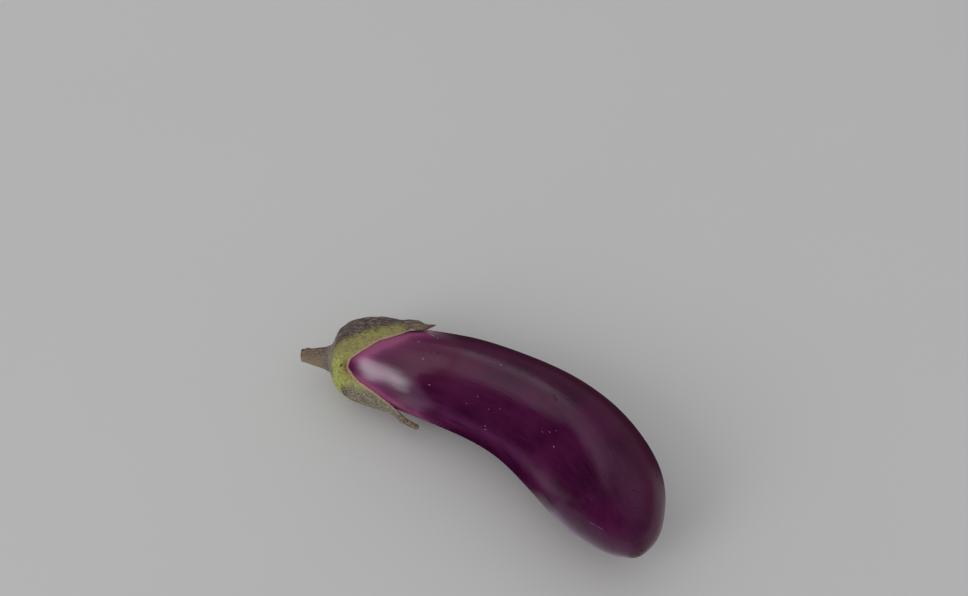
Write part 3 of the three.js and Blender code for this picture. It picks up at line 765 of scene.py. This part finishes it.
    zero = np.zeros_like(arc_i)
    tip_o = np.maximum(
        smooth(arc_o, 40, 48) * (turn(deg_o, 205) < 22),
        np.maximum(smooth(arc_o, 38.5, 43) * (turn(deg_o, 40) < 18), smooth(arc_o, 38, 47) * (turn(deg_o, 8) < 16)))
    tip_o = np.maximum(tip_o, smooth(arc_o, 33, 40) * (turn(deg_o, 320) < 16))
    crown = (1 - smooth(arc_o, 7.5, 12.0))
    vertex = np.exp(-((deg_o - 137) / 15) ** 2) * smooth(arc_o, 13.5, 17.5)
    spot = np.exp(-((deg_o - 137) / 3.4) ** 2 - ((arc_o - 15.2 + 0.12 * (deg_o - 137)) / 0.7) ** 2)
    g_o, g_i = grow(arc_o, np.radians(deg_o)), grow(arc_i, np.radians(deg_i))
    g = np.concatenate([[[0, 0, 0]], g_o.reshape(-1, 3), g_i[::-1].reshape(-1, 3), [[0, 0, 0]]])
    low_in = zero + 0.6
    return make_piece("calyx_cap", verts, faces, "root", "calyx", calyx_material(), {
        "grow": g, "green": both(green, zero + 0.5, 1, 0.5), "low": both(low, low_in, 0, 0.6),
        "rim": both(d_o, zero + 2, 5, 5), "tip": both(tip_o, smooth(arc_i, 36, 44) * (arc_i > 0), 0, 0), "crown": both(crown, zero, 1, 0),
        "straw": both(smooth(arc_o, 38, 44) * (turn(deg_o, 8) < 14), smooth(arc_i, 38, 44) * (turn(deg_i, 8) < 14), 0, 0),
        "olive": both(smooth(deg_o, 134, 104), zero, 0, 0), "vertex": both(vertex, zero, 0, 0), "spot": both(spot, zero, 0, 0), "relief": both(rel_look, zero, 0, 0)})


# ---------------------------------------------------------------- stem
def stem_material():
    t = Tree("eggplant_stem")
    grown = t.vector("grow")
    cut = t.number("cut")
    collar = t.number("collar")
    sunny = t.number("sunny")
    fibres = t.noise(t.stretch(grown, (1.9, 1.9, 0.30)), 1.0, 4.0, 0.65)
    threads = t.noise(t.stretch(grown, (4.2, 4.2, 0.35)), 1.0, 3.0, 0.6)
    mottle = t.noise(grown, 0.7, 4.0, 0.65)
    colour = t.mix(t.fit(fibres, 0.32, 0.70), (0.165, 0.112, 0.088), (0.440, 0.325, 0.235))
    colour = t.mix(t.math("MULTIPLY", t.fit(mottle, 0.42, 0.64), t.math("SUBTRACT", 1.0, sunny)), colour, (0.140, 0.075, 0.085))
    colour = t.mix(t.math("MULTIPLY", sunny, t.fit(threads, 0.35, 0.65, 0.3, 0.9)), colour, (0.520, 0.410, 0.260))
    colour = t.mix(t.math("MULTIPLY", collar, t.fit(fibres, 0.3, 0.6, 0.4, 0.9)), colour, (0.330, 0.270, 0.285))
    face = t.mix(t.fit(mottle, 0.35, 0.65), (0.210, 0.150, 0.075), (0.520, 0.430, 0.240))
    colour = t.mix(cut, colour, face)
    height = t.math("ADD", fibres, t.math("MULTIPLY", threads, 0.8))
    normal = t.bump(height, 0.00040, 1.0)
    rough = t.fit(mottle, 0.3, 0.7, 0.70, 0.88, "LINEAR")
    shader = t.node("ShaderNodeBsdfPrincipled", {
        "Base Color": colour, "Roughness": rough, "Normal": normal, "Specular IOR Level": 0.3}).outputs[0]
    return t.finish(shader)


def build_stem():
    h = math.radians(STEM_HEADING)
    axis = np.array([math.cos(h), math.sin(h), STEM_RISE])
    axis /= np.linalg.norm(axis)
    side = np.array([-math.sin(h), math.cos(h), 0.0])
    up = np.cross(axis, side)
    seat = POLE + POLE_AXIS * (CROWN_SEAT - STEM_GAP) + side * STEM_BASE_SHIFT[0] + np.array([0, 0, STEM_BASE_SHIFT[1]])
    cols = 160
    a = np.arange(cols) / cols * 2 * np.pi
    rows = []          # (distance along in mm, radius, cut-face share, radial relief share)
    for d in np.linspace(-0.95, STEM_LENGTH - 0.35, 84):
        f = d / STEM_LENGTH
        r = np.interp(max(f, 0), [q[0] for q in STEM_RADII], [q[1] for q in STEM_RADII])
        r = r + 0.30 * math.exp(-max(d - 0.4, 0) / 0.8)
        rows.append((d, r, 0.0))
    r_end = rows[-1][1]
    for k in range(1, 7):
        w = k / 6 * math.pi / 2
        rows.append((STEM_LENGTH - 0.35 + 0.35 * math.sin(w), r_end - 0.35 * (1 - math.cos(w)), 0.0))
    for share in (0.97, 0.93, 0.88, 0.80, 0.70, 0.58, 0.46, 0.34, 0.22, 0.11):
        rows.append((STEM_LENGTH - 0.28 * (1 - share) ** 0.6, (r_end - 0.35) * share, 1.0))
    pts, grown, cut, along = [], [], [], []
    for d, r, face in rows:
        f = max(d, 0) / STEM_LENGTH
        g = np.stack([4.2 * np.cos(a), 4.2 * np.sin(a), np.full(cols, d)], -1)
        ribs = 1 + 0.045 * np.cos(5 * a + 0.6 + 0.15 * f)
        rough = 0.13 * noise3(g / np.array([0.9, 0.9, 6]), 41) + 0.07 * noise3(g / np.array([0.45, 0.45, 2.5]), 42)
        rough += 0.10 * fractal(g / 1.4, 43, 2)
        swell = 0.42 * np.exp(-((d - 9.9) / 0.9) ** 2 - (turn(np.degrees(a), 42) / 26) ** 2)
        rr = r * ribs + (rough + swell) * min(1.0, r / 2.0) * (0.25 if face else 1.0)
        dd = np.full(cols, d)
        if face or d > STEM_LENGTH - 0.4:
            gf = np.stack([rr * np.cos(a), rr * np.sin(a), np.full(cols, 50.0)], -1)
            dd = dd + 0.16 * fractal(gf / 0.75, 44, 2) * min(1.0, 0.4 + face) + 0.10 * np.cos(a - 0.7) * (rr / 2.6)
        c = seat[None, :] - axis[None, :] * dd[:, None]
        # a slight crook towards the cut end
        c = c + side[None, :] * (0.25 * f * f) - up[None, :] * (0.15 * f * f)
        pts.append(c + side[None, :] * (rr * np.cos(a))[:, None] + up[None, :] * (rr * np.sin(a))[:, None])
        grown.append(np.stack([rr * np.cos(a), rr * np.sin(a), dd + (0 if not face else 3)], -1))
        cut.append(np.full(cols, face))
        along.append(np.full(cols, d))
    pts = np.array(pts)
    first = pts[0].mean(0)
    last = pts[-1].mean(0)
    verts = np.concatenate([[first], pts.reshape(-1, 3), [last]])
    faces = ring_faces(len(rows), cols, 0, len(verts) - 1)
    along = np.array(along)
    angle = np.degrees(np.repeat(a[None, :], len(rows), 0))
    pad = lambda x, p, q: np.concatenate([[p], np.array(x).ravel(), [q]])
    sunny = np.exp(-(turn(angle, 175) / 60) ** 2) * smooth(along, 0, 3) * 0.8
    return make_piece("stem_stub", verts, faces, "root", "stem", stem_material(), {
        "grow": np.concatenate([[[0, 0, 0]], np.array(grown).reshape(-1, 3), [[0, 0, 20]]]),
        "cut": pad(cut, 0, 1), "collar": pad(1 - smooth(along, 0.4, 2.2), 1, 0), "sunny": pad(sunny, 0, 0)})


# ---------------------------------------------------------------- floor, light and surroundings
def stage_floor():
    t = Tree("floor_pale")
    patch = t.noise(t.coords(), 6.0, 3.0, 0.5)
    colour = t.mix(t.fit(patch, 0.3, 0.7), (0.872, 0.872, 0.872), (0.882, 0.882, 0.882))
    shader = t.node("ShaderNodeBsdfPrincipled", {
        "Base Color": colour, "Roughness": 1.0, "Specular IOR Level": 0.0}).outputs[0]
    mesh = bpy.data.meshes.new("floor")
    w, z = 6.0, -0.00005
    mesh.from_pydata([(-w, -w, z), (w, -w, z), (w, w, z), (-w, w, z)], [], [(0, 1, 2, 3)])
    mesh.materials.append(t.finish(shader))
    floor = bpy.data.objects.new("floor", mesh)
    bpy.context.scene.collection.objects.link(floor)


TURN = math.radians(38.2)     # from the view's own directions to the part's frame


def towards(azimuth, elevation):
    """Direction by azimuth from straight away from the camera, positive to its right, and elevation."""
    az, el = math.radians(azimuth), math.radians(elevation)
    x, y = math.sin(az) * math.cos(el), math.cos(az) * math.cos(el)
    return Vector((x * math.cos(TURN) - y * math.sin(TURN), x * math.sin(TURN) + y * math.cos(TURN), math.sin(el)))


def area_light(name, direction, distance, size, radiance, glossy=True):
    data = bpy.data.lights.new(name, "AREA")
    data.shape = "RECTANGLE"
    data.size, data.size_y = size
    data.energy = radiance * math.pi * size[0] * size[1]
    light = bpy.data.objects.new(name, data)
    bpy.context.scene.collection.objects.link(light)
    light.location = direction * distance
    light.rotation_euler = (-direction).to_track_quat("-Z", "Y").to_euler()
    light.visible_glossy = glossy
    return light


def reflection_dome():
    """What the gloss sees: a soft room, dark to the left and brighter above and behind. Only reflections show it."""
    t = Tree("reflection_dome")
    place = t.node("ShaderNodeVectorMath", {0: t.coords()}, operation="NORMALIZE").outputs[0]

    def lobe(direction, inner, outer):
        facing = t.node("ShaderNodeVectorMath", {0: place, 1: tuple(direction)}, operation="DOT_PRODUCT").outputs["Value"]
        return t.fit(facing, math.cos(math.radians(outer)), math.cos(math.radians(inner)))

    glow = t.math("ADD", 0.15, t.math("MULTIPLY", lobe(towards(-26, 56), 12, 36), 0.48))
    glow = t.math("ADD", glow, t.math("MULTIPLY", lobe(towards(84, 54), 8, 36), 0.22))
    glow = t.math("ADD", glow, t.math("MULTIPLY", lobe(towards(-84, 72), 6, 30), 0.32))
    streak = t.math("MULTIPLY", lobe(towards(-2, 36), 2, 9), 1.1)
    glow = t.math("ADD", glow, streak)
    glow = t.math("MULTIPLY", glow, t.math("SUBTRACT", 1.0, t.math("MULTIPLY", lobe(towards(-105, 28), 26, 40), 0.95)))
    shader = t.node("ShaderNodeEmission", {"Color": (1.0, 1.0, 1.0), "Strength": glow}).outputs[0]
    verts, rows, cols = [(0.0, 0.0, 3.0)], 20, 64
    for i in range(1, rows + 1):
        w = math.radians(92 * i / rows)
        for j in range(cols):
            b = j / cols * 2 * math.pi
            verts.append((3 * math.sin(w) * math.cos(b), 3 * math.sin(w) * math.sin(b), 3 * math.cos(w)))
    faces = [(0, 1 + j, 1 + (j + 1) % cols) for j in range(cols)]
    for i in range(rows - 1):
        for j in range(cols):
            a, b = 1 + i * cols + j, 1 + i * cols + (j + 1) % cols
            faces.append((a, a + cols, b + cols, b))
    reflected_only("reflection_dome", verts, faces, t.finish(shader))


def in_frame(points):
    """Where points in mm fall in the camera's frame, in pixels of a 968 x 596 picture."""
    look = Vector((-0.34581303, 0.43944289, -0.82903757))
    q = look.to_track_quat("-Z", "Y")
    right, up = np.array(q @ Vector((1, 0, 0))), np.array(q @ Vector((0, 1, 0)))
    off = points * MM - np.array(camera.location)
    scale = 968 * camera_data.lens / camera_data.sensor_width / (off @ np.array(look))
    return 484 + (off @ right) * scale, 298 - (off @ up) * scale


def depth_inside(outline, u, v):
    """Distance in pixels to a closed outline, positive inside it."""
    q = np.array(outline, float)
    best, odd = np.full(u.shape, 1e9), np.zeros(u.shape, bool)
    for (x0, y0), (x1, y1) in zip(q, np.roll(q, -1, 0)):
        t = np.clip(((u - x0) * (x1 - x0) + (v - y0) * (y1 - y0)) / ((x1 - x0) ** 2 + (y1 - y0) ** 2), 0, 1)
        best = np.minimum(best, np.hypot(u - x0 - t * (x1 - x0), v - y0 - t * (y1 - y0)))
        crosses = ((y0 > v) != (y1 > v)) & (u < (x1 - x0) * (v - y0) / ((y1 - y0) if y1 != y0 else 1e-9) + x0)
        odd ^= crosses
    return np.where(odd, best, -best)


def reflection_sleeve():
    """A liner close over the side the camera sees, shown only by the gloss: a soft window on the neck,
    a dark stretch along the flank and a thin light line low down, where the table shows."""
    arc, deg = np.meshgrid(np.linspace(12, SKIN_ARC - 3, 210), np.linspace(62, 262, 190), indexing="ij")
    phi = np.radians(deg)
    p, n = skin(arc, phi), skin_normal(arc, phi)
    sight = p - np.array(camera.location) / MM
    sight /= np.linalg.norm(sight, axis=-1, keepdims=True)
    facing = -(sight * n).sum(-1)
    bounce = sight + 2 * facing[..., None] * n
    u, v = in_frame(p)
    u = u + 2.4 * noise3(grow(arc, phi) / np.array([2.2, 2.2, 7.0]), 61)
    v = v + 2.4 * noise3(grow(arc, phi) / np.array([2.2, 2.2, 9.0]), 62)

    neck = depth_inside([(357, 367), (363, 353), (377, 344), (398, 345), (430, 350), (454, 357), (450, 371), (423, 375), (419, 382), (425, 393),
                         (436, 407), (416, 413), (396, 400), (380, 391), (366, 382)], u, v)
    flank = depth_inside([(424, 378), (440, 380), (464, 384), (488, 389), (508, 397), (524, 405), (540, 412), (556, 418), (570, 425),
                          (580, 436), (588, 450), (596, 467), (602, 483), (608, 497), (618, 511), (630, 523), (616, 528),
                          (600, 521), (586, 512), (574, 502), (560, 500), (548, 497), (530, 492), (500, 468), (470, 446),
                          (442, 427), (439, 409), (427, 393)], u, v)
    window = depth_inside([(357, 362), (364, 359), (374, 363), (388, 368), (399, 373), (406, 379), (407, 388), (398, 386),
                           (386, 380), (374, 379), (364, 376), (358, 370)], u, v)
    path = np.array([(408, 402), (432, 409), (448, 414), (464, 421), (480, 429), (496, 438), (512, 449), (528, 463), (544, 480),
                     (558, 496), (572, 509)], float)
    line = np.full(u.shape, 1e9)
    for a, b in zip(path[:-1], path[1:]):
        t = np.clip(((u - a[0]) * (b - a)[0] + (v - a[1]) * (b - a)[1]) / ((b - a) ** 2).sum(), 0, 1)
        line = np.minimum(line, np.hypot(u - a[0] - t * (b - a)[0], v - a[1] - t * (b - a)[1]))
    width = np.interp(u, [410, 440, 470, 530, 560], [9.0, 7.0, 4.5, 5.0, 8.0])

    neck_in = smooth(neck, -8, 8)
    flank_in = smooth(flank, -6, 6)
    glow = np.interp(u, [395, 410], [0.70, 0.95]) * neck_in * (1 - smooth(flank, -6, 5)) + 7.6 * smooth(window, -7, 7) * np.interp(u, [360, 372, 383, 396, 406], [1.0, 1.0, 0.86, 0.92, 0.72])
    glow = glow + np.interp(u, [414, 440, 480, 510, 545], [0.30, 0.55, 0.65, 0.60, 0.50]) * np.exp(-(line / width) ** 2)
    tint = smooth(u, 400, 425) * (1 - smooth(u, 512, 548)) * (1 - neck_in * (1 - 0.65 * smooth(v, 378, 398)))
    foot = np.full(u.shape, 1e9)
    for a, b in (((556, 514), (576, 534)), ((576, 534), (600, 548)), ((600, 548), (630, 556))):
        a, b = np.array(a, float), np.array(b, float)
        t = np.clip(((u - a[0]) * (b - a)[0] + (v - a[1]) * (b - a)[1]) / ((b - a) ** 2).sum(), 0, 1)
        foot = np.minimum(foot, np.hypot(u - a[0] - t * (b - a)[0], v - a[1] - t * (b - a)[1]))
    foot = 0.5 * np.exp(-(foot / 13) ** 2)
    glow = glow + 0.95 * foot / 0.5 * (1 - flank_in)
    cool = foot / 0.5 * (1 - neck_in) * (1 - flank_in)
    cover = np.clip(np.maximum(np.maximum(neck_in, flank_in), foot), 0, 1) * smooth(facing, 0.02, 0.12)

    t = Tree("reflection_sleeve")
    colour = t.mix(t.number("tint"), (0.91, 1.0, 0.96), (1.0, 0.30, 0.86))
    colour = t.mix(t.number("cool"), colour, (0.93, 0.93, 1.06))
    lit = t.node("ShaderNodeEmission", {"Color": colour, "Strength": t.number("glow")}).outputs[0]
    clear = t.node("ShaderNodeBsdfTransparent").outputs[0]
    shader = t.node("ShaderNodeMixShader", {0: t.number("cover"), 1: clear, 2: lit}).outputs[0]
    rows, cols = arc.shape
    i, j = np.meshgrid(np.arange(rows - 1), np.arange(cols - 1), indexing="ij")
    k = i * cols + j
    faces = np.stack([k, k + 1, k + cols + 1, k + cols], -1).reshape(-1, 4)
    seen = cover.ravel()[faces].max(1) > 0.002
    verts = (p + bounce * 6.0).reshape(-1, 3) * MM
    card = reflected_only("reflection_sleeve", verts.tolist(), faces[seen].tolist(), t.finish(shader))
    for name, values in (("glow", glow), ("cover", cover), ("tint", tint), ("cool", cool)):
        layer = card.data.attributes.new(name, "FLOAT", "POINT")
        layer.data.foreach_set("value", values.ravel().astype(np.float32))


def reflected_only(name, verts, faces, material):
    mesh = bpy.data.meshes.new(name)
    mesh.from_pydata(verts, [], faces)
    mesh.materials.append(material)
    material.cycles.emission_sampling = "NONE"
    card = bpy.data.objects.new(name, mesh)
    bpy.context.scene.collection.objects.link(card)
    card.visible_camera = False
    card.visible_diffuse = False
    card.visible_shadow = False
    card.visible_transmission = False
    return card


def fading_board(name, verts, faces, fade, depth):
    """A dark board, seen only in reflections, of any shape; fade is 0 to 1 at each point."""
    t = Tree(name)
    dark = t.node("ShaderNodeEmission", {"Color": (0.0, 0.0, 0.0), "Strength": 0.0}).outputs[0]
    clear = t.node("ShaderNodeBsdfTransparent").outputs[0]
    cover = t.math("MULTIPLY", t.number("fade"), depth)
    shader = t.node("ShaderNodeMixShader", {0: cover, 1: clear, 2: dark}).outputs[0]
    card = reflected_only(name, (np.asarray(verts, float) * MM).tolist(), faces, t.finish(shader))
    layer = card.data.attributes.new("fade", "FLOAT", "POINT")
    layer.data.foreach_set("value", np.asarray(fade, np.float32))


def standing_board(name, path, low, high, ends, top, depth, profile=None):
    """A board standing along a path of (x, y) in mm, fading at its two ends and its top."""
    path = np.array(path, float)
    run = np.r_[0, np.cumsum(np.hypot(*np.diff(path, axis=0).T))]
    u = np.linspace(0, run[-1], 60)
    x, y = np.interp(u, run, path[:, 0]), np.interp(u, run, path[:, 1])
    z = np.linspace(low, high, 16)
    verts = [(x[i], y[i], h) for i in range(60) for h in z]
    fade = [float(smooth(u[i], 0, ends[0]) * (1 - smooth(u[i], run[-1] - ends[1], run[-1])) * (1 - smooth(h, high - top, high))
                  * (np.interp(h, *profile) if profile else 1.0)) for i in range(60) for h in z]
    faces = [(i * 16 + k, (i + 1) * 16 + k, (i + 1) * 16 + k + 1, i * 16 + k + 1) for i in range(59) for k in range(15)]
    fading_board(name, verts, faces, fade, depth)


def lying_board(name, start, stop, depth, hand, section):
    """A board on the table along one side of the fruit: section holds its offset from the skin and its height."""
    s = np.linspace(start, stop, 60)
    r = np.interp(s, _fine[:, 0], _fine_r)
    h = heading(s)
    c = centre_at(s)
    verts, fade = [], []
    for i in range(60):
        ends = float(smooth(s[i], start, start + 15) * (1 - smooth(s[i], stop - 22, stop)))
        for k, (d, z) in enumerate(section):
            out = hand * (r[i] + d)
            verts.append((c[i, 0] - math.sin(h[i]) * out, c[i, 1] + math.cos(h[i]) * out, z))
            fade.append(ends * (0.0 if k == len(section) - 1 else 1.0))
    n = len(section)
    faces = [(i * n + k, (i + 1) * n + k, (i + 1) * n + k + 1, i * n + k + 1) for i in range(59) for k in range(n - 1)]
    fading_board(name, verts, faces, fade, depth)


def light_scene():
    world = bpy.data.worlds.new("studio")
    world.use_nodes = True
    world.node_tree.nodes["Background"].inputs["Color"].default_value = (1.0, 1.0, 1.0, 1.0)
    world.node_tree.nodes["Background"].inputs["Strength"].default_value = 0.38
    world.cycles.sampling_method = "NONE"
    bpy.context.scene.world = world
    area_light("window", towards(-126, 35), 2.6, (1.1, 1.5), 1.8, glossy=False)
    sun = bpy.data.lights.new("overhead", "SUN")
    sun.energy = 0.16
    sun.angle = math.radians(100)
    over = bpy.data.objects.new("overhead", sun)
    bpy.context.scene.collection.objects.link(over)
    over.rotation_euler = (-towards(-30, 80)).to_track_quat("-Z", "Y").to_euler()
    over.visible_glossy = False
    reflection_dome()
    reflection_sleeve()
    standing_board("card_low", [(-95, -62), (-57, -45), (-38, -38), (-17, -36), (4, -35), (21, -36), (33, -41), (42, -49), (46, -60)],
                   0, 46, (20, 12), 8, 0.95, ([0, 10, 13, 21, 26, 46], [1, 1, 0.6, 0.6, 1, 1]))
    standing_board("card_high", [(-52, -112), (20, -122), (100, -135)], 20, 150, (22, 30), 30, 0.95)
    lying_board("card_near", 22, 108, 0.9, -1, [(-8, 0.8), (-3, 0.8), (2, 0.8), (12, 0.8), (20, 0.8), (26, 0.8), (32, 0.8)])
    lying_board("card_far", 22, 152, 0.95, 1,
                [(-8, 1), (4, 1), (14, 1), (26, 1), (40, 3), (50, 12), (55, 30), (58, 55)])


stage_floor()
light_scene()
build_fruit()
build_calyx()
build_stem()

view = bpy.context.scene.view_settings
view.view_transform = "Standard"
